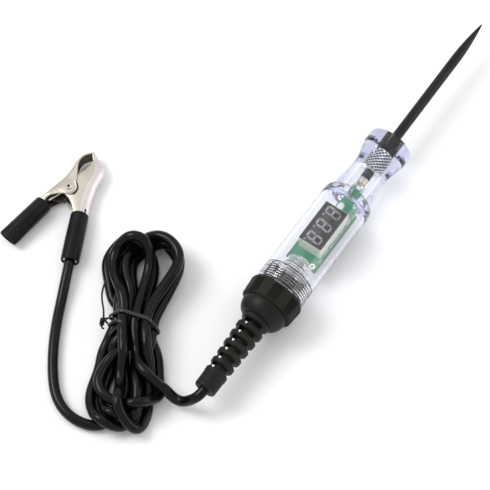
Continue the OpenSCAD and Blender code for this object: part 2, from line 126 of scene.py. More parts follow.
# Each loop's round end: along and across, half length and half width, and the height where
# it leaves the tie, at its end and where it comes back
TOP_LOOPS = [
    (29, 6.2, 10.8, 9, 7.4, 17, 9), (28.9, -3.5, 13.6, 12.7, 12, 12, 7),
    (28.9, -4.4, 13.6, 11.8, 7.2, 7.2, 2.4), (28.9, -2.1, 13.6, 14.1, 2.4, 2.4, 2.4),
    (28, 6.9, 12, 11.3, 2.4, 12, 2.4)]
LOW_LOOPS = [
    (40, -5.1, 9.5, 6.2, 12, 7.5, 3), (33, 1.8, 13, 9, 6, 4.5, 3),
    (27.5, -1.1, 14.6, 13.9, 12, 7, 2.4), (34.5, 4.2, 15.5, 10.4, 4, 4.5, 4)]
# Along, across and up, from the tie to the start of the rear route
LAST_RUN = [(-10, 5.2, 2.4), (-18, 4.2, 2.4), (-28, -0.5, 2.4), (-37, -2.5, 2.4),
            (-43.5, -0.5, 2.4), (-47.5, 4, 2.4)]
# How the cord is laid down: the space between its points before and after, the rounds, the
# share of them before the last smoothing, how far apart two passes are pushed, and how far
# along the cord a point still counts as the same pass
LAY_SPACING = 2.4 * MM
LAID_SPACING = 3.1 * MM
LAY_ROUNDS = 420
LATE_SHARE = 0.85
PASS_APART = CORD_D * 1.09
NEXT_REACH = 2.2 * CORD_D


def from_hank(along, across, height):
    """A point in the row frame from millimetres along, across and above the hank's middle."""
    c, s = math.cos(HANK_TURN), math.sin(HANK_TURN)
    return np.array([HANK_MID[0] + (along * c - across * s) * MM,
                     HANK_MID[1] + (along * s + across * c) * MM, height * MM])


def tie_pass(i, side):
    """Where a pass enters or leaves the tie: side 1 towards the top loops, -1 the bottom."""
    across, row = TIE_PASSES[i]
    return [from_hank(side * TIE_HALF, across * STRAND, ROW_Z[row])]


def loop_points(loop, side):
    """One round end of the hank: side 1 at the top, -1 at the bottom."""
    along, across, half_len, half_w, out_z, end_z, back_z = loop
    points = []
    for step in range(-5, 6):
        a = math.radians(90) * step / 5
        leg_z = out_z if step < 0 else back_z
        ease = math.cos(a) ** 2
        points.append(from_hank(side * (along + half_len * math.cos(a)),
                                across + side * half_w * math.sin(a),
                                leg_z + (end_z - leg_z) * ease))
    return points


def cord_route():
    """The cord's whole route before it is laid down."""
    route = list(FRONT_ROUTE)
    for i, top in enumerate(TOP_LOOPS):
        route += tie_pass(2 * i, -1) + tie_pass(2 * i, 1) + loop_points(top, 1)
        route += tie_pass(2 * i + 1, 1) + tie_pass(2 * i + 1, -1)
        if i < len(LOW_LOOPS):
            route += loop_points(LOW_LOOPS[i], -1)
    route += [from_hank(*p) for p in LAST_RUN]
    return np.array(route + list(REAR_ROUTE))


def spline(points, spacing):
    """Evenly spaced points on a smooth curve through the given ones."""
    p = np.vstack([2 * points[0] - points[1], points, 2 * points[-1] - points[-2]])
    fine = []
    for i in range(1, len(p) - 2):
        for t in np.linspace(0, 1, 12, endpoint=False):
            a, b, c, d = p[i - 1], p[i], p[i + 1], p[i + 2]
            fine.append(0.5 * (2 * b + (c - a) * t + (2 * a - 5 * b + 4 * c - d) * t ** 2
                               + (3 * b - a - 3 * c + d) * t ** 3))
    fine = np.array(fine + [points[-1]])
    run = np.concatenate([[0], np.cumsum(np.linalg.norm(np.diff(fine, axis=0), axis=1))])
    places = np.linspace(0, run[-1], int(run[-1] / spacing) + 1)
    return np.column_stack([np.interp(places, run, fine[:, k]) for k in range(3)])


def settle(line):
    """Lays the cord down: it sinks, rests on the floor and on itself, and keeps its plan."""
    x = line.copy()
    n = len(x)
    c, s = math.cos(HANK_TURN), math.sin(HANK_TURN)
    from_mid = line[:, :2] - HANK_MID
    along = from_mid[:, 0] * c + from_mid[:, 1] * s
    tied = (np.abs(along) < HELD_ALONG) & (np.linalg.norm(from_mid, axis=1) < HELD_ACROSS)
    # Both ends stay where the strain relief and the clip hold them
    free = np.ones(n, bool)
    free[:3] = False
    free[-8:] = False
    hold = np.where(tied, 0.5, 0.12)[:, None]
    steps_apart = np.abs(np.subtract.outer(np.arange(n), np.arange(n)))
    not_next = steps_apart > int(NEXT_REACH / LAY_SPACING)
    for step in range(LAY_ROUNDS):
        late = step > LAY_ROUNDS * LATE_SHARE
        if not late:
            # Gravity, the plan's pull, the tie's hold and the cord's own stiffness
            move = np.zeros_like(x)
            move[:, 2] -= np.where(tied, 0, 0.1 * MM)
            move[:, :2] += hold * (line[:, :2] - x[:, :2])
            move[:, 2] += np.where(tied, 0.5, 0) * (line[:, 2] - x[:, 2])
            curve = np.zeros_like(x)
            curve[1:-1] = (x[:-2] + x[2:]) / 2 - x[1:-1]
            stiff = curve.copy()
            stiff[1:-1] -= (curve[:-2] + curve[2:]) / 2
            move += 0.3 * stiff
            move[:, :2] += 0.1 * curve[:, :2]
            move[:, 2] += 0.12 * curve[:, 2]
            x[free] += move[free]
        # Passes that are too close push each other away, more upwards than sideways
        diff = x[:, None, :] - x[None, :, :]
        dist = np.linalg.norm(diff, axis=2)
        i, j = np.nonzero(not_next & (dist < PASS_APART))
        d = np.maximum(dist[i, j], 1e-6)
        push = diff[i, j] * ((PASS_APART - d) / d)[:, None] * 0.45
        push[:, :2] *= 0.6
        total = np.zeros_like(x)
        count = np.zeros(n)
        np.add.at(total, i, push)
        np.add.at(count, i, 1)
        total /= np.maximum(count, 1)[:, None] ** 0.5
        x[free] += total[free]
        if late:
            smooth = (x[:-2] + x[2:]) / 2 - x[1:-1]
            x[1:-1][free[1:-1]] += 0.05 * smooth[free[1:-1]]
        x[:, 2] = np.maximum(x[:, 2], CORD_R + 0.02 * MM)
    return x


def make_cord():
    """The cord as one curve, and the points down its middle."""
    line = spline(settle(spline(cord_route(), LAY_SPACING)), LAID_SPACING)
    data = bpy.data.curves.new("cord", "CURVE")
    data.dimensions = "3D"
    # Each point's radius is the cord's own, because the bounds grow by the points' radius
    data.bevel_depth = 1
    data.bevel_resolution = 6
    data.resolution_u = 4
    data.use_fill_caps = True
    path = data.splines.new("NURBS")
    path.points.add(len(line) - 1)
    for point, place in zip(path.points, line):
        point.co = (*place, 1)
        point.radius = CORD_R
    path.order_u = 4
    path.use_endpoint_u = True
    cord = bpy.data.objects.new("cord", data)
    bpy.context.scene.collection.objects.link(cord)
    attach(cord, "cord_end")
    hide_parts("cord_front", "cord_hank", "cord_rear")
    return cord, line


make_camera()
cord, laid = make_cord()


# ---- Materials -------------------------------------------------------------------

LOOKS = {}


def tree_of(name):
    """Keeps a new material in LOOKS and gives its node tree and its shader."""
    look = LOOKS[name] = bpy.data.materials.new(name)
    look.use_nodes = True
    return look.node_tree, look.node_tree.nodes["Principled BSDF"]


def noise(tree, scale, detail=4, stretch=(1, 1, 1)):
    """A noise in the piece's own space, scale counted per metre."""
    place = tree.nodes.new("ShaderNodeTexCoord")
    map_ = tree.nodes.new("ShaderNodeMapping")
    map_.inputs["Scale"].default_value = stretch
    tex = tree.nodes.new("ShaderNodeTexNoise")
    tex.inputs["Scale"].default_value = scale
    tex.inputs["Detail"].default_value = detail
    tree.links.new(place.outputs["Object"], map_.inputs["Vector"])
    tree.links.new(map_.outputs["Vector"], tex.inputs["Vector"])
    return tex.outputs["Fac"]


def ranged(tree, value, low, high):
    """Spreads a noise's middle values from low to high."""
    node = tree.nodes.new("ShaderNodeMapRange")
    node.inputs["From Min"].default_value = 0.3
    node.inputs["From Max"].default_value = 0.7
    node.inputs["To Min"].default_value = low
    node.inputs["To Max"].default_value = high
    tree.links.new(value, node.inputs["Value"])
    return node.outputs["Result"]


def blended(tree, factor, a, b):
    """Mixes two colours, each a tuple or another node's output."""
    node = tree.nodes.new("ShaderNodeMix")
    node.data_type = "RGBA"
    for socket, value in ((node.inputs[6], a), (node.inputs[7], b)):
        if isinstance(value, tuple):
            socket.default_value = (*value, 1)
        else:
            tree.links.new(value, socket)
    tree.links.new(factor, node.inputs[0])
    return node.outputs[2]


def bumped(tree, bsdf, height, distance, strength=0.5):
    """Gives the shader a fine relief from a height."""
    node = tree.nodes.new("ShaderNodeBump")
    node.inputs["Distance"].default_value = distance
    node.inputs["Strength"].default_value = strength
    tree.links.new(height, node.inputs["Height"])
    tree.links.new(node.outputs["Normal"], bsdf.inputs["Normal"])


def finish(name, dark, light, rough, metallic=0.0, patches=60, grain=1500, relief=0.02,
           stretch=(1, 1, 1), shine=0.5):
    """Two close colours in soft patches, with grain in its roughness and relief."""
    tree, bsdf = tree_of(name)
    soft = ranged(tree, noise(tree, patches, 3), 0, 1)
    fine = noise(tree, grain, 3, stretch)
    tree.links.new(blended(tree, soft, dark, light), bsdf.inputs["Base Color"])
    tree.links.new(ranged(tree, fine, rough[0], rough[1]), bsdf.inputs["Roughness"])
    bsdf.inputs["Metallic"].default_value = metallic
    bsdf.inputs["Specular IOR Level"].default_value = shine
    bumped(tree, bsdf, fine, relief * MM)


def clear_plastic(name, face, edge, ior=1.49, rough=(0.0, 0.02), thick_tint=5, clear=1.0):
    """Clear plastic, more tinted where it is seen edge on. Lamps shine through it."""
    tree, bsdf = tree_of(name)
    facing = tree.nodes.new("ShaderNodeLayerWeight")
    facing.inputs["Blend"].default_value = 0.22
    tree.links.new(blended(tree, facing.outputs["Facing"], face, edge), bsdf.inputs["Base Color"])
    tree.links.new(ranged(tree, noise(tree, 300), rough[0], rough[1]), bsdf.inputs["Roughness"])
    bsdf.inputs["Transmission Weight"].default_value = clear
    bsdf.inputs["IOR"].default_value = ior
    bumped(tree, bsdf, noise(tree, 90, 1), 0.05 * MM, 0.15)
    path = tree.nodes.new("ShaderNodeLightPath")
    through = tree.nodes.new("ShaderNodeBsdfTransparent")
    through.inputs["Color"].default_value = (0.95, 0.95, 0.955, 1)
    tint = tree.nodes.new("ShaderNodeVolumeAbsorption")
    tint.inputs["Color"].default_value = (0.62, 0.65, 0.84, 1)
    tint.inputs["Density"].default_value = thick_tint
    tree.links.new(tint.outputs[0], tree.nodes["Material Output"].inputs["Volume"])
    mix = tree.nodes.new("ShaderNodeMixShader")
    tree.links.new(path.outputs["Is Shadow Ray"], mix.inputs[0])
    tree.links.new(bsdf.outputs[0], mix.inputs[1])
    tree.links.new(through.outputs[0], mix.inputs[2])
    tree.links.new(mix.outputs[0], tree.nodes["Material Output"].inputs["Surface"])


def board_green():
    """Green lacquer over copper tracks, which stand up a little and look lighter."""
    tree, bsdf = tree_of("green_board")
    place = tree.nodes.new("ShaderNodeTexCoord")
    tracks = tree.nodes.new("ShaderNodeTexBrick")
    tracks.inputs["Scale"].default_value = 260
    tracks.inputs["Mortar Size"].default_value = 0.035
    tracks.inputs["Mortar Smooth"].default_value = 0.3
    tracks.inputs["Color1"].default_value = (0.008, 0.12, 0.055, 1)
    tracks.inputs["Color2"].default_value = (0.01, 0.15, 0.07, 1)
    tracks.inputs["Mortar"].default_value = (0.03, 0.26, 0.15, 1)
    tree.links.new(place.outputs["Object"], tracks.inputs["Vector"])
    cloud = ranged(tree, noise(tree, 400), 0, 0.35)
    tree.links.new(blended(tree, cloud, tracks.outputs["Color"], (0.03, 0.22, 0.12)),
                   bsdf.inputs["Base Color"])
    tree.links.new(ranged(tree, noise(tree, 900), 0.25, 0.4), bsdf.inputs["Roughness"])
    bumped(tree, bsdf, tracks.outputs["Fac"], 0.05 * MM)


# The record's looks, with chrome_painted_shade, nickel_web_painted_light and nickel_inside_painted_shade for some
# sides of a piece: painted shade on the knurl's shaded faces, painted light on the fixed jaw's web, and painted
# shade inside the jaws' sheets
clear_plastic("clear_shell", (1, 1, 1), (0.84, 0.85, 0.95), thick_tint=48)
clear_plastic("clear_cup", (1, 1, 1), (0.86, 0.88, 0.93), 1.4)
clear_plastic("clear_led", (0.86, 0.97, 0.88), (0.62, 0.8, 0.68), 1.5, (0.15, 0.3), clear=0.45)
finish("black_probe", (0.008, 0.008, 0.007), (0.015, 0.015, 0.013), (0.34, 0.5), 0.2, relief=0.02,
       grain=2500, stretch=(0.1, 1, 1), shine=0.25)
finish("black_trim", (0.004, 0.004, 0.004), (0.009, 0.009, 0.008), (0.15, 0.22), relief=0.003,
       shine=0.2)
# Near white and barely metallic: the chrome's lit sides carry a painted reflection of the white room
finish("chrome_nut", (0.92, 0.92, 0.92), (0.99, 0.99, 0.98), (0.15, 0.25), 0.15)
# Grey chrome: painted shade on one side of each knurl pyramid
finish("chrome_painted_shade", (0.12, 0.12, 0.125), (0.24, 0.24, 0.25), (0.2, 0.3), 0.2)
finish("nickel_contact", (0.5, 0.44, 0.36), (0.78, 0.74, 0.66), (0.18, 0.34), 1.0)
board_green()
# Cream, its own colour, with a slight green tint that is a painted reflection of the board
finish("display_case", (0.6, 0.63, 0.53), (0.74, 0.76, 0.66), (0.3, 0.45))
finish("display_dark", (0.01, 0.009, 0.01), (0.028, 0.026, 0.028), (0.5, 0.62), patches=300,
       relief=0.005, shine=0.25)
finish("display_bars", (0.13, 0.13, 0.13), (0.34, 0.33, 0.34), (0.5, 0.6), patches=260,
       relief=0.005)
finish("solder", (0.6, 0.6, 0.62), (0.85, 0.85, 0.87), (0.12, 0.28), 1.0, grain=900)
finish("black_chip", (0.01, 0.01, 0.01), (0.02, 0.02, 0.02), (0.45, 0.6))
finish("white_print", (0.7, 0.7, 0.66), (0.86, 0.86, 0.82), (0.4, 0.6))
finish("spring_wire", (0.5, 0.5, 0.5), (0.85, 0.85, 0.84), (0.1, 0.22), 1.0)
finish("brass_disc", (0.6, 0.42, 0.16), (0.78, 0.6, 0.28), (0.2, 0.36), 1.0)
finish("black_cap", (0.014, 0.014, 0.011), (0.02, 0.02, 0.017), (0.5, 0.64), grain=2200,
       relief=0.02, shine=0.12)
finish("black_relief", (0.009, 0.009, 0.008), (0.016, 0.016, 0.013), (0.34, 0.46), grain=1800,
       relief=0.02, shine=0.15)
finish("black_cord", (0.002, 0.002, 0.0018), (0.005, 0.005, 0.0045), (0.15, 0.21), patches=35,
       grain=2600, relief=0.003, shine=0.19)
finish("black_tie", (0.008, 0.008, 0.008), (0.016, 0.016, 0.015), (0.22, 0.36))
finish("nickel_clip", (0.5, 0.46, 0.39), (0.6, 0.56, 0.49), (0.3, 0.42), 1.0, patches=90,
       grain=700, relief=0.02, stretch=(1, 3, 1))
# A lighter, pinker copy of the nickel: painted light on the fixed jaw's web
finish("nickel_web_painted_light", (0.66, 0.6, 0.6), (0.76, 0.7, 0.7), (0.36, 0.5), 0.8, patches=90, grain=700,
       relief=0.02, stretch=(1, 3, 1))
# Dark brown nickel: painted shade on the inner side of the jaws' sheets
finish("nickel_inside_painted_shade", (0.1, 0.075, 0.055), (0.24, 0.2, 0.17), (0.35, 0.5), 1.0, patches=120,
       grain=900)
finish("black_sleeve", (0.004, 0.004, 0.004), (0.009, 0.009, 0.008), (0.32, 0.44), patches=90,
       grain=1200, relief=0.02, shine=0.14)


def paint(piece, look):
    """Puts one look in every material slot of a piece."""
    if len(piece.data.materials) == 0:
        piece.data.materials.append(LOOKS[look])
    for i in range(len(piece.data.materials)):
        piece.data.materials[i] = LOOKS[look]
    for slot in piece.material_slots:
        slot.material = LOOKS[look]


for part in frame["record"]["subparts"]:
    paint(nodes[part["node"]], part["material_slot"])
paint(cord, "black_cord")


# ---- Mesh helpers ----------------------------------------------------------------

def add_mesh(name, points, faces, look, body, *stands_for, smooth=True):
    """A piece made of points and faces that rides on a body and may stand for CAD nodes."""
    data = bpy.data.meshes.new(name)
    data.from_pydata([tuple(p) for p in points], [], faces)
    data.validate()
    data.update()
    data.polygons.foreach_set("use_smooth", [smooth] * len(data.polygons))
    if smooth:
        data.set_sharp_from_angle(angle=math.radians(38))
    piece = bpy.data.objects.new(name, data)
    bpy.context.scene.collection.objects.link(piece)
    paint(piece, look)
    if body:
        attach(piece, body)
    if stands_for:
        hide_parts(*stands_for)
    return piece


def tube_faces(rings, sides, closed):
    """Faces between rings of points, joined end to end if closed and capped if not."""
    faces = []
    for i in range(rings if closed else rings - 1):
        j = (i + 1) % rings
        for k in range(sides):
            n = (k + 1) % sides
            faces.append((i * sides + k, i * sides + n, j * sides + n, j * sides + k))
    if not closed:
        faces.append(tuple(range(sides))[::-1])
        faces.append(tuple((rings - 1) * sides + k for k in range(sides)))
    return faces


def bar_points(path, width, thick, facing, sides, closed):
    """Rings of an oval bar along a path. facing(i) is the way its width points."""
    points = []
    n = len(path)
    for i in range(n):
        before = path[i - 1] if closed or i > 0 else path[0]
        after = path[(i + 1) % n] if closed or i < n - 1 else path[-1]
        ahead = (after - before).normalized()
        side = facing(i)
        side = (side - ahead * side.dot(ahead)).normalized()
        up = ahead.cross(side)
        for k in range(sides):
            a = 2 * math.pi * (k + 0.5) / sides
            points.append(path[i] + side * (math.cos(a) * width / 2)
                          + up * (math.sin(a) * thick / 2))
    return points


def bar(name, path, width, thick, facing, look, body, *stands_for, sides=10, closed=False):
    """An oval bar along a path, as a piece."""
    points = bar_points(path, width, thick, facing, sides, closed)
    return add_mesh(name, points, tube_faces(len(path), sides, closed), look, body, *stands_for)


def rounded(node, size, segments=2):
    """Breaks the sharp edges of a CAD piece."""
    bevel = nodes[node].modifiers.new("edges", "BEVEL")
    bevel.width = size
    bevel.segments = segments
    bevel.limit_method = "ANGLE"
    bevel.angle_limit = math.radians(35)
    bevel.harden_normals = True


# ---- Pen -------------------------------------------------------------------------

def on_pen(x, radius, angle):
    """A point at a radius and an angle round the pen's axis."""
    return Vector((x, radius * math.sin(angle), axis_z + radius * math.cos(angle)))


def lathe(name, profile, look, body, *stands_for, sides=64):
    """Turns (x, radius) pairs round the pen's axis into a closed ring."""
    points = [on_pen(x, r, 2 * math.pi * k / sides) for x, r in profile for k in range(sides)]
    return add_mesh(name, points, tube_faces(len(profile), sides, True), look, body, *stands_for)


def make_bush():
    """The shell is moulded round the bush, so it reaches just into the plastic, with no air."""
    low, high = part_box("probe_bush")
    outer, bore = (high.y - low.y) / 2, 1.93 * MM
    moulded, step = outer + 0.06 * MM, 0.02 * MM
    outer_edge, bore_edge = 0.4 * MM, 0.2 * MM
    lathe("bush", [(low.x, bore), (low.x, moulded), (nose_x - step, moulded),
                   (nose_x + step, outer), (high.x - outer_edge, outer),
                   (high.x, outer - outer_edge), (high.x, bore + bore_edge),
                   (high.x - bore_edge, bore)], "black_trim", "pen", "probe_bush")


def make_contact():
    """Pressed ferrule behind the probe, with two feet soldered to the board's tongue."""
    low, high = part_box("contact_ferrule")
    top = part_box("circuit_board")[1].z
    back = high.x - 3.3 * MM
    outer, groove, bore = 2.4 * MM, 2.15 * MM, 0.4 * MM
    lathe("ferrule", [(back, bore), (back, 2.1 * MM), (back + 0.3 * MM, outer),
                      (high.x - 1.2 * MM, outer), (high.x - 1 * MM, groove),
                      (high.x - 0.6 * MM, groove), (high.x - 0.4 * MM, outer),
                      (high.x, 2.3 * MM), (high.x, bore)], "nickel_contact", "pen",
          "contact_ferrule")
    off, soldered_z = 2.0 * MM, top + 0.2 * MM
    for side in (-1, 1):
        foot = [Vector((back + 0.4 * MM, side * 1.5 * MM, axis_z)),
                Vector((back - 0.4 * MM, side * 1.8 * MM, axis_z)),
                Vector((back - 1 * MM, side * off, (axis_z + top) / 2 + 0.3 * MM)),
                Vector((low.x - 0.8 * MM, side * off, soldered_z)),
                Vector((low.x - 2.2 * MM, side * off, soldered_z))]
        bar(f"ferrule_foot_{'a' if side < 0 else 'b'}", foot, 1.2 * MM, 0.35 * MM,
            lambda i: Vector((0, 1, 0)), "nickel_contact", "pen", sides=8)
    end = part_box("probe")[0].x
    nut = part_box("knurled_nut")[0].x
    outer, edge, bore = 2.3 * MM, 2.1 * MM, 1.86 * MM
    lathe("probe_heel", [(end + 0.1 * MM, bore), (end + 0.1 * MM, edge), (end + 0.5 * MM, outer),
                         (nut - 0.5 * MM, outer), (nut - 0.3 * MM, edge), (nut - 0.3 * MM, bore)],
          "black_probe", "pen")


def make_knurled_nut():
    """Diamond knurl, moulded in: low pyramids between grooves. Light and shade are painted by facing: the grooves
    and one side of each pyramid are black, a second side grey, and the two others bright."""
    low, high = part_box("knurled_nut")
    chamfer = 0.3 * MM
    depth = 0.35 * MM
    floor = (high.y - low.y) / 2 + 0.05 * MM
    bore = 1.94 * MM
    around, rows = 12, 6
    sides, steps = around * 8, rows * 8
    steepness, groove_from = 1.3, 0.8
    run = high.x - low.x - 2 * chamfer

    def diamond(x, angle):
        """Where a point is in its diamond: how near each groove, and on which side of one."""
        u, v = around * angle / (2 * math.pi), rows * (x - low.x - chamfer) / run
        return abs((u + v) % 1 * 2 - 1), abs((u - v) % 1 * 2 - 1), (u + v) % 1 < 0.5

    points = [on_pen(low.x, bore, 2 * math.pi * k / sides) for k in range(sides)]
    points += [on_pen(low.x, floor, 2 * math.pi * k / sides) for k in range(sides)]
    for i in range(steps + 1):
        x = low.x + chamfer + run * i / steps
        for k in range(sides):
            angle = 2 * math.pi * k / sides
            near = diamond(x, angle)
            rise = min(1, steepness * (1 - max(near[:2])))
            points.append(on_pen(x, floor + depth * rise, angle))
    for r in (floor, bore):
        points += [on_pen(high.x, r, 2 * math.pi * k / sides) for k in range(sides)]
    knurl = add_mesh("knurl", points, tube_faces(steps + 5, sides, True), "chrome_nut", "pen",
                     "knurled_nut", smooth=False)
    # Painted shade: the grooves and one side of each pyramid take the black trim, and a second side the grey
    # chrome; the rest stay bright as painted light
    for look in ("black_trim", "chrome_painted_shade"):
        knurl.data.materials.append(LOOKS[look])
    for face in knurl.data.polygons:
        x = face.center.x
        if low.x + chamfer < x < high.x - chamfer:
            near = diamond(x, math.atan2(face.center.y, face.center.z - axis_z) % (2 * math.pi))
            if max(near[:2]) > groove_from or (near[2] and near[0] > near[1]):
                face.material_index = 1
            elif near[0] > near[1]:
                face.material_index = 2


def make_ground_spring():
    """Wound wire with closed end turns."""
    low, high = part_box("ground_spring")
    wire = 0.3 * MM
    radius = (high.y - low.y) / 2 - wire
    turns, per_turn = 12, 28
    # This share of the advance eases in and out, so the end turns lie closer
    eased, end_share = 0.25, 0.06
    path = []
    for i in range(turns * per_turn + 1):
        t = i / (turns * per_turn)
        inside = min(1, max(0, (t - end_share) / (1 - 2 * end_share)))
        closing = 0.5 - 0.5 * math.cos(math.pi * inside)
        along = (1 - eased) * t + eased * closing
        x = low.x + wire + (high.x - low.x - 2 * wire) * along
        path.append(on_pen(x, radius, 2 * math.pi * i / per_turn))
    centre = Vector((0, 0, axis_z))
    spring = bar("ground_coil", path, 2 * wire, 2 * wire,
                 lambda i: Vector((0, path[i].y, path[i].z)) - centre, "spring_wire", None,
                 "ground_spring", sides=8)
    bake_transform(spring)


def make_lamp_wires():
    """The two posts inside the clear lamp, one longer than the other."""
    low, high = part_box("indicator_led")
    middle = Vector(((low.x + high.x) / 2, (low.y + high.y) / 2, (low.z + high.z) / 2 + 0.3 * MM))
    off = 0.45 * MM
    for side, reach in ((-1, 1.6 * MM), (1, 1.1 * MM)):
        path = [middle + Vector((x, side * off, 0)) for x in
                (-2.2 * MM, -0.8 * MM, 0.2 * MM, reach)]
        bar(f"lamp_post_{'a' if side < 0 else 'b'}", path, 0.75 * MM, 0.4 * MM,
            lambda i: Vector((0, 1, 0)), "white_print", "pen", sides=8)


def make_board_print():
    """White arc printed beside the ground pad, and bare tracks along the board's edge."""
    board_low, board_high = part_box("circuit_board")
    top = board_high.z
    pad = mid("ground_pad")
    half_w, thick, sunk = 0.18 * MM, 0.06 * MM, 0.02 * MM
    arc = [Vector((pad.x + 1.5 * MM * math.sin(a) - 0.2 * MM,
                   pad.y + 9.5 * MM * (1 - math.cos(a)) * 0.62 + 1.4 * MM, top + 0.03 * MM))
           for a in [math.radians(d) for d in range(20, 100, 8)]]
    bar("board_arc", arc, 0.35 * MM, 0.08 * MM, lambda i: Vector((1, 0, 0)), "white_print", "pen",
        sides=6)
    points, faces = [], []
    rng = random.Random(4)
    for i in range(9):
        x = board_low.x + (5 + i * 4.6) * MM
        y = -6.6 * MM + rng.uniform(0, 0.5) * MM
        run = rng.uniform(2.2, 3.6) * MM
        # Each track is a straight stretch and a short slanted one
        for a, b in (((x, y), (x + run, y)), ((x + run, y), (x + run + 0.9 * MM, y + 0.9 * MM))):
            along = Vector((b[0] - a[0], b[1] - a[1], 0)).normalized() * half_w
            across = Vector((-along.y, along.x, 0))
            n = len(points)
            z = Vector((0, 0, top - sunk))
            for corner in (Vector((*a, 0)) - along - across, Vector((*b, 0)) + along - across,
                           Vector((*b, 0)) + along + across, Vector((*a, 0)) - along + across):
                points += [corner + z, corner + z + Vector((0, 0, thick))]
            faces += [(n + 1, n + 3, n + 5, n + 7), (n + 6, n + 4, n + 2, n)]
            faces += [(n + 2 * k, n + (2 * k + 2) % 8, n + (2 * k + 3) % 8, n + 2 * k + 1)
                      for k in range(4)]
    add_mesh("board_tracks", points, faces, "solder", "pen", smooth=False)


def make_window_rims():
    """Rims of the small three-cornered openings between the strain relief's rings."""
    # Millimetres: the first one's place, the length that all take, and how far off the axis
    first, count, length, off = -76.9, 6, 30.5, 3.4
    # Half of a rim's depth, its outside, and its hole with the reach of the three corners
    half, outside, hole, corner = 1.2, 0.93, 0.58, 0.13
    sides = 30
    way = Vector((-0.371, -0.2756, 0.887)).normalized()
    side = way.cross(Vector((0, 1, 0))).normalized()
    up = way.cross(side)
    for i in range(count):
        middle = Vector(((first - i * length / count) * MM, off * MM, axis_z))
        points = []
        for along, rim in ((-half, outside), (half, outside), (half, 0), (-half, 0)):
            for k in range(sides):
                a = 2 * math.pi * k / sides
                r = rim or hole + corner * math.cos(3 * a)
                points.append(middle + (way * along + side * (r * math.cos(a))
                                        + up * (r * math.sin(a))) * MM)
        add_mesh(f"window_rim_{i + 1}", points, tube_faces(4, sides, True), "black_relief",
                 "cord_end")


make_bush()
make_contact()
make_window_rims()
make_knurled_nut()
make_ground_spring()
make_lamp_wires()
make_board_print()
for name, size in (("display_housing", 0.12 * MM), ("circuit_board", 0.1 * MM),
                   ("control_chip", 0.08 * MM), ("rear_cap", 0.1 * MM),
                   ("strain_relief", 0.12 * MM)):
    rounded(name, size)


# ---- Twist tie -------------------------------------------------------------------

def tie_section():
    """Rounded outline, across and up, that just holds the strands at the tie."""
    c, s = math.cos(HANK_TURN), math.sin(HANK_TURN)
    held = []
    for p in laid:
        dx, dy = p[0] - HANK_MID[0], p[1] - HANK_MID[1]
        along, across = dx * c + dy * s, dy * c - dx * s
        if abs(along) < HELD_ALONG and abs(across) < HELD_ACROSS:
            held.append((across, p[2]))
    # From a strand's middle to the middle of the band's wire
    reach = CORD_R + 0.62 * MM
    outline = []
    for i in range(60):
        a = 2 * math.pi * i / 60
        far = max(held, key=lambda h: h[0] * math.cos(a) + h[1] * math.sin(a))
        height = max(0.6 * MM, far[1] + reach * math.sin(a))
        outline.append((far[0] + reach * math.cos(a), height))
    return outline


def hank_point(along, across, height):
    """The same place as from_hank, with all three in metres."""
    return Vector(from_hank(along / MM, across / MM, height / MM))


def make_twist_tie():
    """A band round the strands, a second pass over some, two twisted ends and a long one."""
    outline = tie_section()
    left = max(outline)
    along_hank = Vector((math.cos(HANK_TURN), math.sin(HANK_TURN), 0))
    up = Vector((0, 0, 1))
    thick = 0.9 * MM
    # On its right half, where across is below zero, it slants towards the lower loops
    band = [hank_point(min(1.4 * MM, (1.4 + (y / MM + 1.2) * 0.5) * MM), y, z) for y, z in outline]
    bar("tie_band", band, 1.7 * MM, thick, lambda i: along_hank, "black_tie", "cord_end",
        "twist_tie", closed=True)
    # The second pass lies over the left strands only, then tucks under
    second = [hank_point(-2.6 * MM - 0.1 * i * MM, y, z) for i, (y, z) in
              enumerate(outline) if y > -0.5 * MM and z > 5 * MM]
    bar("tie_second", second, 1.5 * MM, thick, lambda i: along_hank, "black_tie", "cord_end")
    # Two twisted ends, then one end that runs up beside the strands
    turns, twist_radius = 2.2, 1.05
    for phase, name in ((0, "tie_twist_a"), (math.pi, "tie_twist_b")):
        path = []
        for i in range(31):
            t = i / 30
            middle = hank_point((-1.5 - 3.4 * t) * MM,
                                left[0] + (0.2 + 2.7 * math.sin(2.6 * t)) * MM,
                                (8.5 + 2.5 * math.sin(3 * t)) * MM)
            turn = phase + 2 * math.pi * turns * t
            path.append(middle + (along_hank * math.cos(turn) + up * math.sin(turn))
                        * twist_radius * MM)
        bar(name, path, 0.95 * MM, 0.85 * MM, lambda i: along_hank, "black_tie", "cord_end",
            sides=8)
    tail = [hank_point((-4.6 + 21 * t) * MM, left[0] + (2.6 - 0.7 * math.sin(7 * t) + 1.6 * t) * MM,
                       (9.5 + 2.6 * t - 1.6 * math.cos(5 * t) * (1 - t)) * MM)
            for t in [i / 16 for i in range(17)]]
    bar("tie_tail", tail, 1.1 * MM, thick, lambda i: up, "black_tie", "cord_end", sides=8)


make_twist_tie()


# ---- Clip ------------------------------------------------------------------------

CLIP_TURN = math.radians(11)
SHEET = 0.7 * MM
# Millimetres, half the height of a handle under its sleeve
HANDLE_HALF = 2.9


def on_clip(x, y, z):
    """A point from millimetres in the clip's own plan, over its pivot."""
    c, s = math.cos(CLIP_TURN), math.sin(CLIP_TURN)
    return pivot + Vector((x * c - y * s, x * s + y * c, z)) * MM


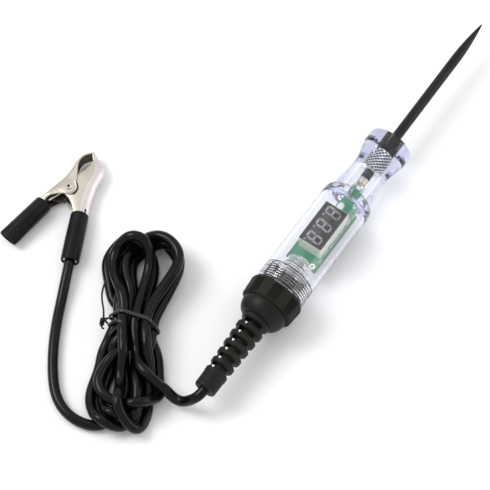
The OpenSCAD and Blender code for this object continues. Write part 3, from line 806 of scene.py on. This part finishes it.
def make_clip_spring():
    """Wound wire round the rivet, with a leg into each handle."""
    wire, radius, turns, per_turn = 0.8, 2.2, 4.6, 24
    count = int(turns * per_turn)
    top = 1.72
    start = math.radians(141)
    path = [on_clip(radius * math.cos(start - 2 * math.pi * i / per_turn),
                    radius * math.sin(start - 2 * math.pi * i / per_turn),
                    -top + 2 * top * i / count) for i in range(count + 1)]
    out = path[0] - path[1]
    leg = [path[0] + out.normalized() * d * MM for d in (8.5, 4, 1)]
    bar("spring_coil", leg + path, wire * MM, wire * MM, lambda i: Vector((0, 0, 1)), "spring_wire",
        "cord_end", "clip_spring", sides=8)
    # The arm runs straight from the coil into the moving handle
    bar("spring_arm", [on_clip(-2.3 - d * 0.8, 1.7 + d * 0.47, 1.9) for d in (0, 2, 4, 6, 8.6)],
        wire * MM, wire * MM, lambda i: Vector((0, 0, 1)), "spring_wire", "clip_jaw", "spring_leg",
        sides=8)


def make_boss_rim():
    """The raised rim pressed round the pivot on the moving jaw's top cheek."""
    height = (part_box("jaw_moving")[1].z - pivot.z) / MM
    radius = 3.35
    path = [on_clip(radius * math.cos(a), radius * math.sin(a), height - 0.02) for a in
            [math.radians(d) for d in range(190, 345, 8)]]
    bar("boss_rim", path, 0.5 * MM, 0.36 * MM, lambda i: path[i] - pivot, "nickel_clip", "clip_jaw",
        sides=8)


# Each jaw's edges in the clip's plan, from its tip to the end of its handle
FIXED_WEB = [(22.3, -2.5), (20.8, -4.5), (19.2, -6.7), (17.7, -8.7), (16.3, -10.1), (14.2, -11),
             (11.6, -11.4), (5.7, -11.2), (1.8, -11.7), (-1.5, -12.2), (-6, -13.2), (-10, -14),
             (-14, -14.4), (-28, -17.4)]
FIXED_OPEN = ([(20.9, -2.5), (19.6, -2.9), (18, -4), (17, -4.5), (14.8, -4.1), (12.6, -3.4),
               (10.8, -2.7), (7.7, -0.9), (4.6, 0.8)]
              + [(3.8 * math.cos(math.radians(d)), 3.8 * math.sin(math.radians(d)))
                 for d in range(30, 180, 20)]
              + [(-4.5, -1.6), (-6.4, -4.2), (-8.4, -5.9), (-10.7, -7.5), (-13, -9.2),
                 (-28.6, -13.6)])
MOVING_WEB = [(20.9, -1.8), (20, -0.5), (18.6, 1), (16.4, 2.4), (13.8, 3.3), (10.9, 3.6),
              (6.4, 4.3), (3, 5.3), (-2.4, 7.5), (-8, 9.6), (-13, 11.3), (-28, 15.9)]
MOVING_OPEN = ([(20.2, -2.1), (19.6, -2.1), (18.8, -1), (17.6, 0.1), (16.2, 0.9), (14.6, 1.2),
                (12.8, 1.1), (10.8, 0.5), (8.2, -0.5), (6.1, -1.3)]
               + [(3.9 * math.cos(math.radians(d)), 3.9 * math.sin(math.radians(d)))
                  for d in range(-35, -190, -15)]
               + [(-5.5, 3.7), (-7.3, 5.8), (-9.6, 7.0), (-14, 7.4), (-29, 12)])


def even_curve(points, count):
    """The curve through plan points, as a number of evenly spaced ones."""
    line = spline(np.array([(*p, 0.0) for p in points]), 0.2)
    run = np.concatenate([[0], np.cumsum(np.linalg.norm(np.diff(line, axis=0), axis=1))])
    places = np.linspace(0, run[-1], count)
    return [Vector((float(np.interp(d, run, line[:, 0])), float(np.interp(d, run, line[:, 1]))))
            for d in places]


def jaw_sheet(name, web, opening, half_h, bulge, crease, body, node, slot_at=None, low_lip=0):
    """Bent sheet: two flat cheeks and, between them, a web that bulges out along one edge.
    slot_at opens one row of the web between two places and paints the web in a lighter nickel as painted light,
    and low_lip widens the lower cheek, whose inside carries painted shade."""
    count, across, slot_row = 96, 12, 3
    outer, inner = even_curve(web, count), even_curve(opening, count)
    points, rows = [], across + 3
    edge_cos, edge_sin = math.cos(crease), math.sin(crease)
    for i in range(count):
        # How far it has become a handle, and how far it is from the narrow tip: 0 to 1
        handle = min(1, max(0, (-7.5 - outer[i].x) / 5))
        tip = min(1, max(0, (22 - outer[i].x) / 6))
        h = half_h + (HANDLE_HALF - half_h) * handle
        w = bulge * (0.35 + 0.65 * tip) * (1 - 0.5 * handle)
        inward = inner[i] - outer[i]
        w = min(w, inward.length * 0.6)
        inward = inward.normalized()
        section = [(inner[i], h)]
        for k in range(across + 1):
            a = crease - 2 * crease * k / across
            out = (math.cos(a) - edge_cos) / (1 - edge_cos)
            section.append((outer[i] + inward * w * (1 - out), h * math.sin(a) / edge_sin))
        # The lower cheek is widest 8.5 mm behind the pivot, so more of its inside, dark with painted shade, shows
        # between the handles
        lip = low_lip * math.exp(-((outer[i].x + 8.5) / 4.5) ** 2)
        section.append((inner[i] + inward * lip, -h))
        points += [on_clip(p.x, p.y, z) for p, z in section]
    faces, cheeks = [], set()
    for i in range(count - 1):
        for k in range(rows - 1):
            corner = i * rows + k
            if slot_at and slot_at[0] < outer[i].x < slot_at[1] and k == slot_row:
                continue
            if k in (0, rows - 2):
                cheeks.add(len(faces))
            faces.append((corner, corner + 1, corner + rows + 1, corner + rows))
    sheet = add_mesh(name, points, faces, "nickel_clip", body, node)
    # The sheet's thickness goes inwards, so its faces have to point out
    if sheet.data.polygons[0].normal.z < 0:
        sheet.data.flip_normals()
    metal = sheet.modifiers.new("sheet", "SOLIDIFY")
    metal.thickness = SHEET
    metal.offset = -1
    # Through the material offset, the sheet's inner side takes the dark brown nickel as painted shade
    for extra in ("nickel_web_painted_light", "nickel_inside_painted_shade"):
        sheet.data.materials.append(LOOKS[extra])
    metal.material_offset = 2
    # On the fixed jaw the web takes the lighter nickel: painted light
    if slot_at:
        for face in sheet.data.polygons:
            if face.index not in cheeks:
                face.material_index = 1
    edges = sheet.modifiers.new("edges", "BEVEL")
    edges.width = 0.14 * MM
    edges.segments = 2
    edges.limit_method = "ANGLE"
    edges.angle_limit = math.radians(50)


def oval_sleeve(name, start, turn, shape, node, body):
    """Soft sleeve on a handle: shape gives its width and height at shares of its length."""
    length, wall = 24.0, 0.75
    edge, edge_length = 0.25, 0.5
    fold_rise, fold_width = 0.22, 0.22
    sides, rings = 48, 40
    way = math.radians(180 + turn)
    along = Vector((math.cos(way), math.sin(way)))
    side = Vector((-along.y, along.x))
    points = []
    for layer in (0, 1):
        for i in range(rings + 1):
            t = i / rings if layer == 0 else 1 - i / rings
            width, height = (float(np.interp(t, [k[0] for k in shape], [k[j] for k in shape]))
                             for j in (1, 2))
            # Both ends are rounded, and one soft fold runs along the outside
            lip = edge * (max(0, 1 - t * length / edge_length)
                          + max(0, 1 - (1 - t) * length / edge_length))
            less = wall * layer + (lip if layer == 0 else -lip * 0.5)
            for k in range(sides):
                a = 2 * math.pi * k / sides
                fold = fold_rise * math.exp(-((a - 1.35 - 0.5 * t) / fold_width) ** 2)
                fold *= 1 - layer
                x = (width / 2 - less + fold) * math.cos(a)
                z = (height / 2 - less + fold) * math.sin(a)
                at = Vector(start) + along * (t * length) + side * x
                points.append(on_clip(at.x, at.y, z))
    add_mesh(name, points, tube_faces(2 * (rings + 1), sides, True), "black_sleeve", body, node)


def make_pivot_details():
    """Painted light round the pivot: a black disc as painted shade in the rivet's dimple, a bright ring as a
    painted highlight on its rim, and a dark band as painted shadow under the boss's edge.
    """
    top = (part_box("pivot_rivet")[1].z - pivot.z) / MM
    # Each ring as (radius, height) in millimetres
    # A black disc for painted shade in the dimple, and a bright ring for a painted highlight on the rim
    for name, rings, look in (
            ("rivet_dimple_painted_shade", ((0.02, top - 0.36), (0.66, top - 0.34), (0.66, top - 0.38),
                              (0.02, top - 0.38)), "black_trim"),
            ("rivet_rim_painted_highlight", ((1.02, top - 0.02), (1.2, top + 0.1), (1.38, top - 0.02),
                           (1.2, top - 0.1)), "solder")):
        sides = 40
        around = [2 * math.pi * k / sides for k in range(sides)]
        points = [on_clip(r * math.cos(a), r * math.sin(a), z) for r, z in rings for a in around]
        add_mesh(name, points, tube_faces(len(rings), sides, True), look, "cord_end")
    # A black band as painted shadow in the gap under the boss's edge
    height = (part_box("jaw_moving")[1].z - pivot.z) / MM - 0.62
    radius = 4.12
    path = [on_clip(radius * math.cos(a), radius * math.sin(a), height) for a in
            [math.radians(d) for d in range(232, 362, 6)]]
    bar("boss_painted_shadow", path, 0.8 * MM, 0.3 * MM, lambda i: path[i] - pivot, "black_trim", "clip_jaw",
        sides=8)


make_clip_spring()
make_boss_rim()
make_pivot_details()
jaw_sheet("fixed_jaw", FIXED_WEB, FIXED_OPEN, 3.18, 4.2, math.radians(62), "cord_end", "jaw_fixed",
          slot_at=(-8.9, -6.2))
jaw_sheet("moving_jaw", MOVING_WEB, MOVING_OPEN, 4.0, 2.4, math.radians(80), "clip_jaw",
          "jaw_moving", low_lip=5.2)
oval_sleeve("fixed_sleeve", (-9.6, -10), 14.5, [(0, 8.3, 8.8), (0.5, 8.7, 8.9), (1, 8.6, 8.2)],
            "sleeve_fixed", "cord_end")
oval_sleeve("moving_sleeve", (-10.8, 7.6), -17.5, [(0, 8.2, 8.8), (0.35, 8.6, 8.6), (1, 9.6, 4.6)],
            "sleeve_moving", "clip_jaw")
for name, size in (("pivot_rivet", 0.1 * MM), ("wire_crimp", 0.2 * MM)):
    rounded(name, size, 3)


# ---- Stage -----------------------------------------------------------------------

def make_stage():
    """White floor, an even white sky and three soft lamps."""
    bpy.ops.mesh.primitive_plane_add(size=6, location=(0, 0, 0))
    floor = bpy.context.object
    floor.name = "floor"
    bsdf = tree_of("floor")[1]
    bsdf.inputs["Base Color"].default_value = (0.93, 0.93, 0.935, 1)
    bsdf.inputs["Roughness"].default_value = 0.7
    paint(floor, "floor")
    world = bpy.data.worlds.new("world")
    world.use_nodes = True
    sky = world.node_tree.nodes["Background"]
    sky.inputs[0].default_value = (1, 1, 1, 1)
    sky.inputs[1].default_value = 0.8
    bpy.context.scene.world = world
    for name, place, size, power in (("key", (-0.35, 0.95, 1.1), 0.7, 11),
                                     ("top", (0.48, 0.39, 1.26), 0.9, 1.2),
                                     ("side", (0.7, -0.9, 0.4), 0.8, 3.5)):
        data = bpy.data.lights.new(name, "AREA")
        data.size = size
        data.energy = power
        lamp = bpy.data.objects.new(name, data)
        lamp.location = place
        lamp.rotation_euler = (VIEW_TARGET - Vector(place)).to_track_quat("-Z", "Y").to_euler()
        bpy.context.scene.collection.objects.link(lamp)


make_stage()
bpy.context.scene.view_settings.view_transform = "Standard"
